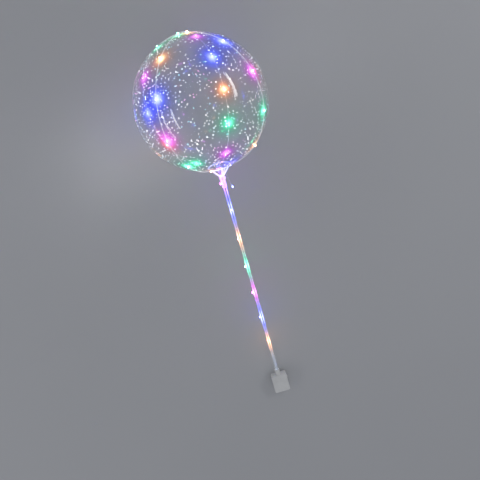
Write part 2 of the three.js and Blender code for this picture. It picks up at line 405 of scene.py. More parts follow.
cupShape = {
    "ringRadius": 29.75,
    "ringWire": 1.75,
    "ringStation": 174.5,
    "ringSteps": (120, 14),
    "ribCount": 6,
    "ribFirst": 12,
    "ribRadius": 1.3,
    "ribSteps": (13, 12),
    "ribSwell": (0.94, 0.3, 4.0),
    "hubTop": 200.5,
    "hubEnd": 236.5,
    "hubTopRadius": 7.5,
    "hubEndRadius": 6.5,
    "hubCap": 2.9,
    "hubCollar": 10,
    "hubRoot": (1.2, 1.4),
    "hubEdge": 0.5,
    "hubStep": (0.4, 0.8),
    "hubWaist": (0.75, 0.62),
    "hubSides": 48,
    "hubPole": 0.01,
    "play": 0.3,
    "lugStation": 210,
    "lugSteps": ((0, 3.0), (0.25, 2.8), (0.8, 2.3), (1, 1.6)),
    "lugReach": 3.4,
    "lugWidth": 0.73,
    "voxel": 0.42,
    "softening": 3,
    "ringLight": (0.62, 0.66, 1.1),
    "ribLight": (1.1, 1.0, 1.25),
    "hubLight": (0.4, 0.34, 0.42),
    "ringFade": 2.5,
    "glow": [(0.65, 12, 0.55), (0.22, 34, 0.2)],
}
tubeRadius = (stickHigh.x - stickLow.x) / 2 / milli
stickLength = lengthAlong(stickLow, stickHigh, 2 * tubeRadius)
stickTop = (stickMiddle - balloonCentre).length / milli - stickLength / 2
boxTop = stickTop + stickLength + cupShape["play"]


def windingTurn(station):
    markStation, markTurn = lightString["windingMark"]
    return markTurn + (station - markStation) * lightString["windingRate"]


def spotsFrom(spots, turn=0, station=0):
    return [place(turn + spin, out, station + along) for spin, out, along in spots]


def nearRing(turn, spots):
    ring, station = cupShape["ringRadius"], cupShape["ringStation"]
    return [place(turn, ring + out, station + along) for out, along in spots]


def windingPoints():
    # out of the box, then round the tube up to the cup
    points = spotsFrom(lightString["outOfBox"], lightString["holeTurn"], boxTop)
    station = boxTop - lightString["windingStart"]
    while station > cupShape["hubEnd"] + lightString["windingEnd"]:
        points.append(place(windingTurn(station), lightString["windingOut"], station))
        station -= lightString["windingStep"] / lightString["windingRate"]
    return points


def feedPoints():
    # a closer wrap round the hub, then out past the ribs and the ring on to the film
    start = cupShape["hubEnd"] + lightString["feedFrom"]
    end = cupShape["hubTop"] + lightString["feedTo"]
    loopUp = lightString["loopOne"][0]
    endTurn = loopUp + lightString["feedTurn"] - 360
    points = []
    for step in range(lightString["feedSteps"] + 1):
        share = step / lightString["feedSteps"]
        turn = blendValue(windingTurn(start), endTurn, share)
        out = blendValue(*lightString["feedOut"], min(1, 2 * share))
        points.append(place(turn, out, blendValue(start, end, share)))
    points += spotsFrom(lightString["offTheHub"], endTurn)
    return points + nearRing(loopUp, lightString["overRing"])[::-1]


def loopPoints(turns, lift):
    # over the balloon from one side of the cup to the other, a little higher at the top
    points = []
    angle = lightString["loopFoot"]
    while angle <= 360 - lightString["loopFoot"]:
        nearTop = math.exp(-((abs(180 - angle) / lightString["crossingSpread"]) ** 2))
        reach = balloonRadius + lightString["wireLift"] + lift * nearTop
        turn = turns[0] if angle <= 180 else turns[1]
        out = reach * abs(math.sin(math.radians(angle)))
        points.append(place(turn, out, reach * math.cos(math.radians(angle))))
        angle += lightString["loopStep"]
    return points


def swirlPoints(fromTurn, toTurn, out, station):
    steps = lightString["swirlSteps"]
    return [place(blendValue(fromTurn, toTurn, n / steps), out, station) for n in range(steps + 1)]


def wirePoints():
    one, two = lightString["loopOne"], lightString["loopTwo"]
    intoTheCup = lightString["overRing"] + lightString["underRing"]
    return (
        windingPoints()
        + feedPoints()
        + loopPoints(one, 0)
        + nearRing(one[1], intoTheCup)
        + swirlPoints(*lightString["upperSwirl"])
        + nearRing(two[0], intoTheCup)[::-1]
        + loopPoints(two, lightString["crossingLift"])
        + nearRing(two[1], intoTheCup)
        + spotsFrom(lightString["inTheCup"])
        + swirlPoints(*lightString["lowerSwirl"])
        + spotsFrom(lightString["hangingEnd"])
    )


def smoothRoute(points, stepsPerSpan):
    # centripetal spline through every point, its ends carried on past the first and last
    spots = [np.array(point) for point in points]
    spots = [2 * spots[0] - spots[1]] + spots + [2 * spots[-1] - spots[-2]]
    path = []
    for n in range(1, len(spots) - 2):
        p0, p1, p2, p3 = spots[n - 1 : n + 3]
        t0 = 0
        t1 = t0 + np.linalg.norm(p1 - p0) ** 0.5
        t2 = t1 + np.linalg.norm(p2 - p1) ** 0.5
        t3 = t2 + np.linalg.norm(p3 - p2) ** 0.5
        for step in range(stepsPerSpan):
            t = blendValue(t1, t2, step / stepsPerSpan)
            a1 = blendValue(p0, p1, (t - t0) / (t1 - t0))
            a2 = blendValue(p1, p2, (t - t1) / (t2 - t1))
            a3 = blendValue(p2, p3, (t - t2) / (t3 - t2))
            b1 = blendValue(a1, a2, (t - t0) / (t2 - t0))
            b2 = blendValue(a2, a3, (t - t1) / (t3 - t1))
            path.append(blendValue(b1, b2, (t - t1) / (t2 - t1)))
    path.append(spots[-2])
    return np.array(path)


def outwardAt(spot):
    # away from the film on the balloon, and away from the stick below it
    offset = Vector(spot) - balloonCentre
    station = offset.dot(footward)
    if station > cupShape["ringStation"] * milli:
        offset = offset - footward * station
    return offset.normalized()


route = smoothRoute(wirePoints(), lightString["stepsPerSpan"])
routeOutward = np.array([outwardAt(spot) for spot in route])
reach = np.concatenate([[0], np.cumsum(np.linalg.norm(np.diff(route, axis=0), axis=1))])
beadNumbers = np.arange(lightString["beadCount"])
beadReach = (lightString["beadLead"] + beadNumbers * lightString["beadPitch"]) * milli
endGap = reach[-1] - beadReach[-1]  # the last light is on the wire's end
beadReach[-1] = reach[-1]
beadSpots = np.column_stack([np.interp(beadReach, reach, route[:, axis]) for axis in range(3)])
beadSpots += np.array([outwardAt(spot) for spot in beadSpots]) * lightString["beadOutset"] * milli
beadOrder = [lightString["colours"][name] for name in lightString["order"]]
beadColours = np.array([beadOrder[n % len(beadOrder)] for n in beadNumbers])
print("route laid:", round(float(reach[-1]), 3), "m of wire,", len(beadSpots), "lights")


def storeColours(mesh, title, colours):
    attribute = mesh.attributes.new(title, "FLOAT_COLOR", "POINT")
    attribute.data.foreach_set("color", np.column_stack([colours, np.ones(len(colours))]).ravel())


def paintGlow(piece, layers, base=None, pattern=None):
    # paints, at each vertex, the light that the string's lamps throw on it, as glow, and the colour
    # that their light lends it, as a painted tint; a layer is (strength, spread in mm, share of white)
    spots = np.empty(len(piece.data.vertices) * 3)
    piece.data.vertices.foreach_get("co", spots)
    spots = spots.reshape(-1, 3)
    glow = base(spots) if base else np.zeros((len(spots), 3))
    tint = np.ones((len(spots), 3))
    for spot, colour in zip(beadSpots, beadColours):
        away = np.linalg.norm(spots - spot, axis=1) / milli
        isBlue = colour[2] > 2 * max(colour[0], colour[1])
        away /= 1 + lightString["blueCarry"] * isBlue  # blue light carries furthest
        for strength, spread, white in layers:
            lamp = blendValue(colour, np.ones(3), white)
            glow += np.exp(-((away / spread) ** 2))[:, None] * lamp * strength
        nearness = np.exp(-((away / lightString["tintSpread"]) ** 2))[:, None]
        tint *= 1 - lightString["tintDepth"] * nearness * (1 - colour / colour.max())
    storeColours(piece.data, "glow", glow * pattern(spots) if pattern else glow)
    storeColours(piece.data, "tint", tint)


grainSpan = (0.3, 0.7)  # where most values of a fine noise lie
broadSpan = (0.35, 0.7)  # and of a broad one


def makeLampGlow():
    # the lamps' painted light stored on the mesh, plus an even painted glow of the piece, made uneven by
    # a grain
    tree, kit, given, result = openTree(
        "lampGlow",
        "ShaderNodeTree",
        {"Grain Scale": 60.0, "Grain Depth": 0.4, "Even Painted Glow": (0, 0, 0, 1)},
        {"Light": "Color"},
    )
    low = kit.minus(1.0, given["Grain Depth"])
    high = kit.plus(1.0, given["Grain Depth"])
    share = kit.mapped(kit.grain(given["Grain Scale"], 3.0), *grainSpan, low, high)
    lit = kit.summed(kit.stored("glow"), given["Even Painted Glow"])
    kit.link(kit.scaled(lit, share), result["Light"])
    return tree


def makeHandlingMarks():
    tree, kit, given, result = openTree(
        "handlingMarks",
        "ShaderNodeTree",
        {"Scale": 40.0, "Smoothest": 0.02, "Roughest": 0.1},
        {"Roughness": "Float", "Height": "Float"},
    )
    broad = kit.grain(given["Scale"], 5.0)
    marks = kit.mapped(broad, *broadSpan, given["Smoothest"], given["Roughest"])
    kit.link(marks, result["Roughness"])
    kit.link(broad, result["Height"])
    return tree


lampGlow = makeLampGlow()
handlingMarks = makeHandlingMarks()


def newFinish(name, values=None):
    material = bpy.data.materials.new(name)
    material.use_nodes = True
    material.node_tree.nodes.clear()
    kit = NodeKit(material.node_tree)
    shader = kit.add("ShaderNodeBsdfPrincipled", values)
    kit.add("ShaderNodeOutputMaterial", {"Surface": shader.outputs[0]})
    material.cycles.emission_sampling = "NONE"
    return material, kit, shader


def addMarks(kit, shader, marks):
    # marks: the group's scale, smoothest and roughest, then the bump's strength and depth in mm
    scale, smoothest, roughest, strength, depth = marks
    values = {"Scale": scale, "Smoothest": smoothest, "Roughest": roughest}
    group = kit.add("ShaderNodeGroup", values, node_tree=handlingMarks).outputs
    kit.link(group["Roughness"], shader.inputs["Roughness"])
    bump = kit.out("ShaderNodeBump", {
        "Strength": strength, "Distance": depth * milli, "Height": group["Height"],
    })
    kit.link(bump, shader.inputs["Normal"])


def addGlow(kit, shader, grainScale, grainDepth, evenPaintedGlow=(0, 0, 0)):
    # the piece's emission is painted light: the lamps' stored glow and an even glow
    values = {"Grain Scale": grainScale, "Grain Depth": grainDepth, "Even Painted Glow": (*evenPaintedGlow, 1)}
    light = kit.out("ShaderNodeGroup", values, node_tree=lampGlow)
    kit.link(light, shader.inputs["Emission Color"])


def addTones(kit, shader, look, detail):
    tone = kit.tones(kit.grain(look["toneScale"], detail), look["tones"])
    kit.link(tone, shader.inputs["Base Color"])
    return tone


def clearFinish(name, look):
    # see-through plastic with painted light: the lamps that lie on it are painted in as its glow and as
    # a tint of its colour
    material, kit, shader = newFinish(name, {
        "IOR": look["ior"], "Transmission Weight": 1.0, "Emission Strength": 1.0,
    })
    addMarks(kit, shader, look["marks"])
    addGlow(kit, shader, *look["grain"])
    colourWithPaintedTint = kit.mixed(1.0, kit.stored("tint"), (*look["colour"], 1), "MULTIPLY")
    kit.link(colourWithPaintedTint, shader.inputs["Base Color"])
    return material


# The balloon's film: a ball drawn down to a pleated neck, flattened where it rests.
filmShape = {
    "rings": 130,
    "sides": 144,
    "bodyShare": 0.93,
    "wall": 0.35,
    "neckRadius": 16.0,
    "neckLength": 11.2,
    "tieRadius": 4.8,
    "pleats": 17,
    "pleatDepth": 1.6,
    "pleatWander": 2.2,
    "pleatWaves": 3.0,
    "gatherOut": 8,
    "gatherFade": 13,
    "ripple": 0.7,
    "rippleScale": 11.0,
    "rippleFade": 40,
    "floorGap": 0.2,
    "glow": [(2.6, 7.5, 0.3), (0.5, 17, 0), (0.05, 50, 0)],
}
filmLook = {
    "colour": (0.97, 0.985, 1.0),
    "ior": 1.42,
    "marks": (9.0, 0.0, 0.02, 0.04, 2.0),
    "grain": (38.0, 0.45),
}


def filmForm(kit, given):
    sheet = kit.out("GeometryNodeMeshGrid", {
        "Size X": 1.0, "Size Y": 1.0,
        "Vertices X": kit.plus(given["Sides"], 1), "Vertices Y": kit.plus(given["Rings"], 1),
    })
    spot = kit.out("GeometryNodeInputPosition")
    across, along, _ = kit.parts(spot)
    turn = kit.times(kit.plus(across, 0.5), 2 * math.pi)
    down = kit.plus(along, 0.5)

    # first the ball, as far as the neck
    neckAngle = kit.math("ARCSINE", kit.over(given["Neck Radius"], given["Radius"]))
    bodyShare = kit.math("MINIMUM", kit.over(down, given["Body Share"]), 1.0)
    bodyAngle = kit.times(bodyShare, kit.minus(math.pi, neckAngle))
    bodyOut = kit.times(given["Radius"], kit.math("SINE", bodyAngle))
    bodyStation = kit.times(given["Radius"], kit.math("COSINE", bodyAngle))

    # then the neck, drawn in towards the tie
    pastBody = kit.over(kit.minus(down, given["Body Share"]), kit.minus(1.0, given["Body Share"]))
    neckShare = kit.math("MAXIMUM", pastBody, 0.0)
    drawn = kit.minus(1.0, kit.math("POWER", kit.minus(1.0, neckShare), 2.0))
    narrowing = kit.times(drawn, kit.minus(given["Neck Radius"], given["Tie Radius"]))
    out = kit.minus(bodyOut, narrowing)
    station = kit.minus(kit.times(neckShare, given["Neck Length"]), bodyStation)

    # pleats that fade out over the film, and the faint waves of thin film
    wander = kit.times(kit.math("SINE", kit.times(turn, given["Pleat Waves"])), given["Pleat Wander"])
    fold = kit.math("COSINE", kit.plus(kit.times(turn, given["Pleats"]), wander))
    fold = kit.math("MULTIPLY_ADD", fold, 0.5, 0.5)
    pastNeck = kit.math("MAXIMUM", kit.minus(out, given["Gather Out"]), 0.0)
    gather = kit.over(1.0, kit.math("EXPONENT", kit.over(pastNeck, given["Gather Fade"])))
    gather = kit.times(gather, kit.math("GREATER_THAN", station, 0.0))
    pleat = kit.times(kit.times(fold, gather), given["Pleat Depth"])
    sine, cosine = kit.math("SINE", turn), kit.math("COSINE", turn)
    onBall = kit.vector(kit.times(bodyOut, sine), kit.times(bodyOut, cosine), station)
    fading = kit.math("MINIMUM", kit.over(bodyOut, given["Ripple Fade"]), 1.0)
    wave = kit.times(kit.noise(onBall, given["Ripple Scale"], 1.0), kit.times(fading, given["Ripple"]))
    out = kit.minus(kit.minus(out, pleat), wave)
    blown = kit.out("GeometryNodeSetPosition", {
        "Geometry": sheet, "Position": kit.vector(kit.times(out, sine), kit.times(out, cosine), station),
    })
    closed = kit.out("GeometryNodeMergeByDistance", {"Geometry": blown, "Distance": mergeGap})

    right, ahead, height = kit.parts(spot)
    pressed = kit.vector(right, ahead, kit.math("MAXIMUM", height, given["Floor Gap"]))
    return kit.out("GeometryNodeSetPosition", {
        "Geometry": kit.laidDown(closed, given), "Position": pressed,
    })


def makeFilm(material):
    sizes = (
        "neckRadius", "neckLength", "tieRadius", "pleatDepth",
        "gatherOut", "gatherFade", "ripple", "rippleFade", "floorGap",
    )
    others = ("pleats", "pleatWander", "pleatWaves", "rippleScale", "bodyShare", "sides", "rings")
    film = growForm(newPiece("bubbleFilm", [(0, 0, 0)], []), "bubbleFilmForm", filmForm, material, {
        "Radius": balloonRadius * milli, **inputsFrom(filmShape, sizes, others), **lyingValues,
    })
    wall = tidyMesh(film).modifiers.new("wall", "SOLIDIFY")
    wall.thickness = filmShape["wall"] * milli
    wall.offset = -1
    paintGlow(smoothShade(settle(film)), filmShape["glow"])
    return film


filmMaterial = clearFinish("clearFilm", filmLook)
film = makeFilm(filmMaterial)
dressClear(film, filmMaterial)
handOver(film, "balloon")

# The knot: one overhand turn of the gathered film, then its short ruffled end.
knotShape = {
    "station": 188.3,
    "coil": 2.8,
    "coilCross": 1.05,
    "coilRise": 2.1,
    "strand": 2.9,
    "steps": 72,
    "sides": 12,
    "neck": [(4.4, 183.6), (3.8, 186), (3.4, 190), (3.9, 193.4), (4.6, 196), (5.4, 198.9)],
    "neckSides": 42,
    "ruffles": 7,
    "ruffleFrom": 192,
    "ruffleDepth": 2.2,
    "voxel": 0.45,
    "softening": 2,
    "glow": [(0.2, 22, 0.3), (0.1, 45, 0)],
}
knotLook = dict(filmLook, marks=(260.0, 0.05, 0.3, 0.5, 0.8))


def tubeAlong(path, radius, sides):
    # rings carried along a path without twist
    path = [Vector(spot) for spot in path]
    verts = []
    side = None
    for n, spot in enumerate(path):
        ahead = (path[min(n + 1, len(path) - 1)] - path[max(n - 1, 0)]).normalized()
        side = side or ahead.orthogonal()
        side = (side - ahead * side.dot(ahead)).normalized()
        across = ahead.cross(side)
        for corner in range(sides):
            angle = 2 * math.pi * corner / sides
            verts.append(spot + (side * math.cos(angle) + across * math.sin(angle)) * radius * milli)
    return verts, ringFaces(len(path), sides, True)


def ruffle(turn, station):
    ruffleFrom, ruffleEnd = knotShape["ruffleFrom"], knotShape["neck"][-1][1]
    loose = max(0, station - ruffleFrom) / (ruffleEnd - ruffleFrom)
    fold = 0.5 + 0.5 * math.cos(math.radians(turn) * knotShape["ruffles"])
    return -knotShape["ruffleDepth"] * loose * fold


def makeKnot():
    settings = knotShape
    coil, cross = settings["coil"], settings["coilCross"]
    path = []
    for step in range(settings["steps"] + 1):
        t = 2 * math.pi * step / settings["steps"]
        right = coil * (math.sin(t) + cross * math.sin(2 * t))
        up = coil * (math.cos(t) - cross * math.cos(2 * t))
        station = settings["station"] + settings["coilRise"] * math.sin(3 * t)
        path.append(place(math.degrees(math.atan2(right, up)), math.hypot(right, up), station))
    turn = tubeAlong(path, settings["strand"], settings["sides"])
    neck = turned(settings["neck"], settings["neckSides"], True, ruffle)
    knot = fuse(joinedPiece("tiedKnot", [turn, neck]), settings["voxel"], settings["softening"])
    paintGlow(knot, settings["glow"])
    return knot


knot = makeKnot()
dressClear(knot, clearFinish("gatheredFilm", knotLook))
handOver(knot, "balloon")

# Flecks scattered over the inside of the film, each glowing as a painted glint, a few drawn out as
# painted streaks of reflection.
fleckShape = {
    "perSquareMetre": 6500.0,
    "nearest": 7.6,
    "seed": 11,
    "smallest": 0.65,
    "largest": 1.25,
    "thickness": 0.3,
    # a share of flecks drawn out into painted streaks of reflected light
    "streakShare": 0.06,
    "streakStretch": 2.0,
    "streakThinning": 0.4,
    "dimmest": 0.25,
    "mostlyLow": 1.6,
    "clumpScale": 7.0,
    "clumpLow": 0.36,
    "clumpHigh": 0.62,
    "sparsest": 0.12,
    "depth": 0.9,
    "span": (2, 170),
    "rings": 56,
    "sides": 96,
    "glintStrength": 16.0,
    "roughness": 0.3,
    "glow": [(0.3, 24, 0.2)],
    "toneScale": 21.0,
    # the painted glints' colours
    "tones": [
        (0.30, (1.0, 0.35, 0.75, 1)),
        (0.38, (1.0, 0.95, 0.9, 1)),
        (0.60, (0.9, 0.96, 1.0, 1)),
        (0.68, (0.3, 0.75, 1.0, 1)),
        (0.76, (0.2, 1.0, 0.75, 1)),
    ],
}


def fleckForm(kit, given):
    clumps = kit.noise(kit.out("GeometryNodeInputPosition"), given["Clump Scale"], 2.0)
    crowding = kit.mapped(clumps, given["Clump Low"], given["Clump High"], given["Sparsest"], 1.0)
    scatter = kit.add("GeometryNodeDistributePointsOnFaces", {
        "Mesh": given["Geometry"],
        "Distance Min": given["Nearest"],
        "Density Max": given["Per Square Metre"],
        "Density Factor": crowding,
        "Seed": given["Seed"],
    }, distribute_method="POISSON").outputs
    flake = kit.out("GeometryNodeMeshIcoSphere", {"Radius": 1.0, "Subdivisions": 1})

    def chance(offset):
        seed = kit.plus(given["Seed"], offset)
        return kit.add("FunctionNodeRandomValue", {"Seed": seed}, data_type="FLOAT").outputs[1]

    def mostlyLow(offset, low, high):
        return kit.mapped(kit.math("POWER", chance(offset), given["Mostly Low"]), 0.0, 1.0, low, high)

    size = mostlyLow(0, given["Smallest"], given["Largest"])
    isStreak = kit.math("LESS_THAN", chance(1), given["Streak Share"])
    length = kit.times(size, kit.math("MULTIPLY_ADD", isStreak, given["Streak Stretch"], 1.0))
    width = kit.times(size, kit.minus(1.0, kit.times(isStreak, given["Streak Thinning"])))
    spin = kit.out("FunctionNodeEulerToRotation", {0: kit.vector(z=kit.times(chance(2), 2 * math.pi))})
    aim = kit.out("FunctionNodeRotateRotation", {
        0: scatter["Rotation"], 1: spin,
    }, rotation_space="LOCAL")
    # each fleck's own painted glint strength, mostly low
    marked = kit.out("GeometryNodeStoreNamedAttribute", {
        "Geometry": scatter["Points"], "Name": "glintGlow", "Value": mostlyLow(3, given["Dimmest"], 1.0),
    }, data_type="FLOAT", domain="POINT")
    scale = kit.vector(length, width, kit.times(size, given["Thickness"]))
    return kit.copies(marked, flake, aim, scale)


def fleckFinish():
    # painted glints: each fleck glows in its tone, as strong as its stored glint, with the lamps'
    # painted light added
    settings = fleckShape
    material, kit, shader = newFinish("brightFleck", {
        "Emission Strength": settings["glintStrength"], "Roughness": settings["roughness"],
    })
    tone = addTones(kit, shader, settings, 1.0)
    lit = kit.summed(kit.scaled(tone, kit.stored("glintGlow", "Fac")), kit.stored("glow"))
    kit.link(lit, shader.inputs["Emission Color"])
    return material


def makeFlecks():
    settings = fleckShape
    radius = balloonRadius - settings["depth"]
    profile = []
    for ring in range(settings["rings"] + 1):
        angle = math.radians(blendValue(*settings["span"], ring / settings["rings"]))
        profile.append((radius * math.sin(angle), -radius * math.cos(angle)))
    flecks = newPiece("filmFlecks", *turned(profile, settings["sides"]))
    for vert in flecks.data.vertices:
        vert.co.z = max(vert.co.z, settings["depth"] * milli)
    others = (
        "perSquareMetre", "seed", "thickness", "streakShare", "streakStretch", "streakThinning",
        "dimmest", "mostlyLow", "clumpScale", "clumpLow", "clumpHigh", "sparsest",
    )
    values = inputsFrom(settings, ("nearest", "smallest", "largest"), others)
    flecks = growForm(flecks, "fleckScatter", fleckForm, fleckFinish(), values)
    paintGlow(flecks, settings["glow"])
    return flecks


handOver(makeFlecks(), "balloon")

# The cup: a ring, its ribs and the hub that takes the stick. Its sizes are with the string's.
cupLook = {
    "colour": (0.95, 0.97, 1.0),
    "ior": 1.46,
    "marks": (90.0, 0.03, 0.12, 0.2, 0.4),
    "grain": (120.0, 0.3),
}


def basketForm(kit, given):
    # the ring, one rib a little stouter at its ends, and its copies round the hub
    ringSteps, wireSides = cupShape["ringSteps"]
    ribSteps, ribSides = cupShape["ribSteps"]
    slimmest, swell, lateness = cupShape["ribSwell"]
    hoop = kit.circle(given["Ring Radius"], ringSteps)
    ring = kit.swept(hoop, kit.circle(given["Ring Wire"], wireSides))
    line = kit.out("GeometryNodeCurvePrimitiveLine", {
        "Start": kit.vector(given["Ring Radius"], 0.0, given["Ring Station"]),
        "End": kit.vector(given["Hub Radius"], 0.0, given["Hub Station"]),
    })
    stoutness = kit.math("POWER", kit.fromMiddle(), lateness)
    stoutness = kit.math("MULTIPLY_ADD", stoutness, swell, slimmest)
    rib = kit.shapedRod(line, ribSteps, stoutness, given["Rib Radius"], ribSides)
    step = kit.over(2 * math.pi, given["Rib Count"])
    turn = kit.math("MULTIPLY_ADD", kit.index(), step, given["Rib First"])
    ribTurn = kit.vector(z=kit.minus(math.pi / 2, turn))
    ribs = kit.copies(kit.row(given["Rib Count"]), rib, ribTurn)
    basket = kit.joined(kit.moved(ring, kit.vector(z=given["Ring Station"])), ribs)
    return kit.joined(kit.laidDown(basket, given), given["Geometry"])


def makeHub():
    settings = cupShape
    top, end, collar = settings["hubTop"], settings["hubEnd"], settings["hubTop"] + settings["hubCollar"]
    outside, mouth, pole = settings["hubTopRadius"], settings["hubEndRadius"], settings["hubPole"]
    edge, cap = settings["hubEdge"], top + settings["hubCap"]
    stepIn, stepAlong = settings["hubStep"]
    waistOut, waistAlong = settings["hubWaist"]
    bore = tubeRadius + settings["play"]
    return turned([
        (pole, top),
        (outside - edge, top),
        (outside, top + edge),
        (outside, collar),
        (outside - stepIn, collar + stepAlong),
        (blendValue(outside, mouth, waistOut), blendValue(collar, end, waistAlong)),
        (mouth, end),
        (bore, end),
        (bore, cap),
        (pole, cap),
    ], settings["hubSides"])


def makeLug():
    # a small tapering block on the hub's right side
    settings = cupShape
    verts = []
    for share, half in settings["lugSteps"]:
        out = settings["hubTopRadius"] - settings["hubRoot"][0] + settings["lugReach"] * share
        for along, across in ((-1, -1), (-1, 1), (1, 1), (1, -1)):
            spot = place(90, out, settings["lugStation"] + along * half)
            verts.append(spot + upward * across * half * settings["lugWidth"] * milli)
    return verts, ringFaces(len(settings["lugSteps"]), 4, True)


def mouldingLight(spots):
    # painted light: the thin ring and ribs are given more glow than the thick hub, as if they piped more
    # of the lamps' light
    ring, hub = cupShape["ringStation"], cupShape["hubTop"]
    station = stationOf(spots)
    share = np.clip((station - ring - cupShape["ringFade"]) / (hub - ring), 0, 1)
    share = np.where(station > hub, 2, share)
    lights = np.array([cupShape["ringLight"], cupShape["ribLight"], cupShape["hubLight"]])
    return np.column_stack([np.interp(share, (0, 1, 2), lights[:, n]) for n in range(3)])


def makeCup(material):
    settings = cupShape
    rootIn, rootAlong = settings["hubRoot"]
    cup = joinedPiece("ribbedCup", [makeHub(), makeLug()])
    cup = growForm(cup, "ringAndRibs", basketForm, material, {
        "Rib First": math.radians(settings["ribFirst"]),
        "Hub Radius": (settings["hubTopRadius"] - rootIn) * milli,
        "Hub Station": (settings["hubTop"] + rootAlong) * milli,
        **inputsFrom(settings, ("ringRadius", "ringWire", "ringStation", "ribRadius"), ("ribCount",)),
        **lyingValues,
    })
    cup = fuse(cup, settings["voxel"], settings["softening"])
    paintGlow(cup, settings["glow"], mouldingLight)
    return cup


cupMaterial = clearFinish("clearMoulding", cupLook)
cup = makeCup(cupMaterial)
dressClear(cup, cupMaterial)
handOver(cup, "cup")

# The stick: a clear tube, with the lamps' light painted on its wall as bright lines along it.
tubeShape = {
    "inner": 4,
    "sides": 40,
    "steps": 240,
    "edge": 0.35,
    # painted light: bright lines along the wall, so many round it and this deep
    "streaks": 4,
    "paintedLineDepth": 0.9,
    "glow": [(1.0, 13, 0.55), (0.42, 34, 0.1)],
}
tubeLook = {
    "colour": (0.95, 0.975, 1.0),
    "ior": 1.49,
    "marks": (55.0, 0.02, 0.1, 0.12, 0.4),
    # the grain of the painted glow, then an even painted glow of the wall
    "grain": (70.0, 0.35, (0.05, 0.055, 0.07)),
}


def paintedWallLines(spots):
    # painted light: the glow is made bright in lines along the tube at even turns round it
    offset = spots - np.array(balloonCentre)
    turn = np.arctan2(offset @ np.array(rightward), offset @ np.array(upward))
    return 1 - tubeShape["paintedLineDepth"] * np.cos(turn * tubeShape["streaks"])[:, None]


def makeTube():
    settings = tubeShape
    end = stickTop + stickLength
    inner, outer, edge = settings["inner"], tubeRadius, settings["edge"]
    stations = np.linspace(stickTop + edge, end - edge, settings["steps"] + 1)
    profile = [(outer - edge, stickTop)]
    profile += [(outer, station) for station in stations]
    profile += [(outer - edge, end), (inner + edge, end)]
    profile += [(inner, station) for station in stations[::-1]]
    profile += [(inner + edge, stickTop), (outer - edge, stickTop)]
    tube = joinedPiece("clearStick", [turned(profile, settings["sides"])])
    paintGlow(tube, settings["glow"], pattern=paintedWallLines)
    return tube


tube = makeTube()
dressClear(tube, clearFinish("clearTube", tubeLook))
handOver(tube, "stick")

# The wire's two twisted strands.
strandShape = {
    "strandRadius": 0.34,
    "strandSides": 5,
    "layLength": 7.0,
    "step": 1.15,
    # a painted sheen, given to the wire as a pale glow
    "sheenOnFilm": 1.3,
    "sheenOnStick": 0.3,
    "sheenFade": 15,
    "sheenColour": (0.92, 0.95, 1.0),
    "glow": [(0.5, 10, 0.3), (0.1, 36, 0)],
    "look": {"Metallic": 0.55, "Coat Weight": 0.6, "Emission Strength": 0.6},
    "marks": (300.0, 0.18, 0.42, 0.3, 0.2),
    "grain": (200.0, 0.5),
    "toneScale": 160.0,
    "tones": [(0.35, (0.55, 0.56, 0.6, 1)), (0.7, (0.95, 0.95, 0.97, 1))],
}


def routeLine(name):
    # the route as one row of joined points; the node trees turn it into a curve
    piece = newPiece(name, route, [], [(n, n + 1) for n in range(len(route) - 1)])
    outward = piece.data.attributes.new("outward", "FLOAT_VECTOR", "POINT")
    outward.data.foreach_set("vector", routeOutward.ravel())
    return piece


def strandForm(kit, given):
    even = kit.out("GeometryNodeResampleCurve", {
        "Curve": kit.curveFrom(given["Geometry"]), "Length": given["Step"],
    }, mode="LENGTH")
    along = kit.add("GeometryNodeSplineParameter").outputs["Length"]
    angle = kit.times(kit.over(along, given["Lay Length"]), 2 * math.pi)
    twisted = kit.out("GeometryNodeSetCurveTilt", {"Curve": even, "Tilt": angle})
    section = kit.circle(given["Strand Radius"], given["Strand Sides"])
    apart = kit.vector(given["Strand Radius"])
    pair = kit.joined(kit.moved(section, apart), kit.moved(section, kit.scaled(apart, -1.0)))
    return kit.swept(twisted, pair)


def strandFinish():
    settings = strandShape
    material, kit, shader = newFinish("lacqueredStrand", settings["look"])
    addTones(kit, shader, settings, 3.0)
    addMarks(kit, shader, settings["marks"])
    addGlow(kit, shader, *settings["grain"])
    return material


def paintedWireSheen(spots):
    # painted sheen: a pale glow on the wire, stronger where it lies on the film than on the stick
    onFilm = np.clip((cupShape["hubTop"] - stationOf(spots)) / strandShape["sheenFade"], 0, 1)
    share = blendValue(strandShape["sheenOnStick"], strandShape["sheenOnFilm"], onFilm)
    return share[:, None] * np.array(strandShape["sheenColour"])


strandValues = inputsFrom(strandShape, ("strandRadius", "layLength", "step"), ("strandSides",))
strands = growForm(routeLine("twistedWire"), "twistedStrands", strandForm, strandFinish(), strandValues)
paintGlow(strands, strandShape["glow"], paintedWireSheen)
handOver(strands, "light_string")

# The lights: a clear resin drop on the wire, and the lit chip inside it.
beadShape = {
    "segments": 14,
    "rings": 9,
    "marks": (260.0, 0.04, 0.14, 0.2, 0.3),
    "toneScale": 420.0,
    "leastWhite": 0.7,
}
dropShape = {"radius": 2.1, "length": 6.8, "strength": 5.0, "white": 0.25, "seeThrough": 0.6}
chipShape = {"radius": 1.0, "length": 3.2, "strength": 45.0, "white": 0.5, "seeThrough": 0.0}


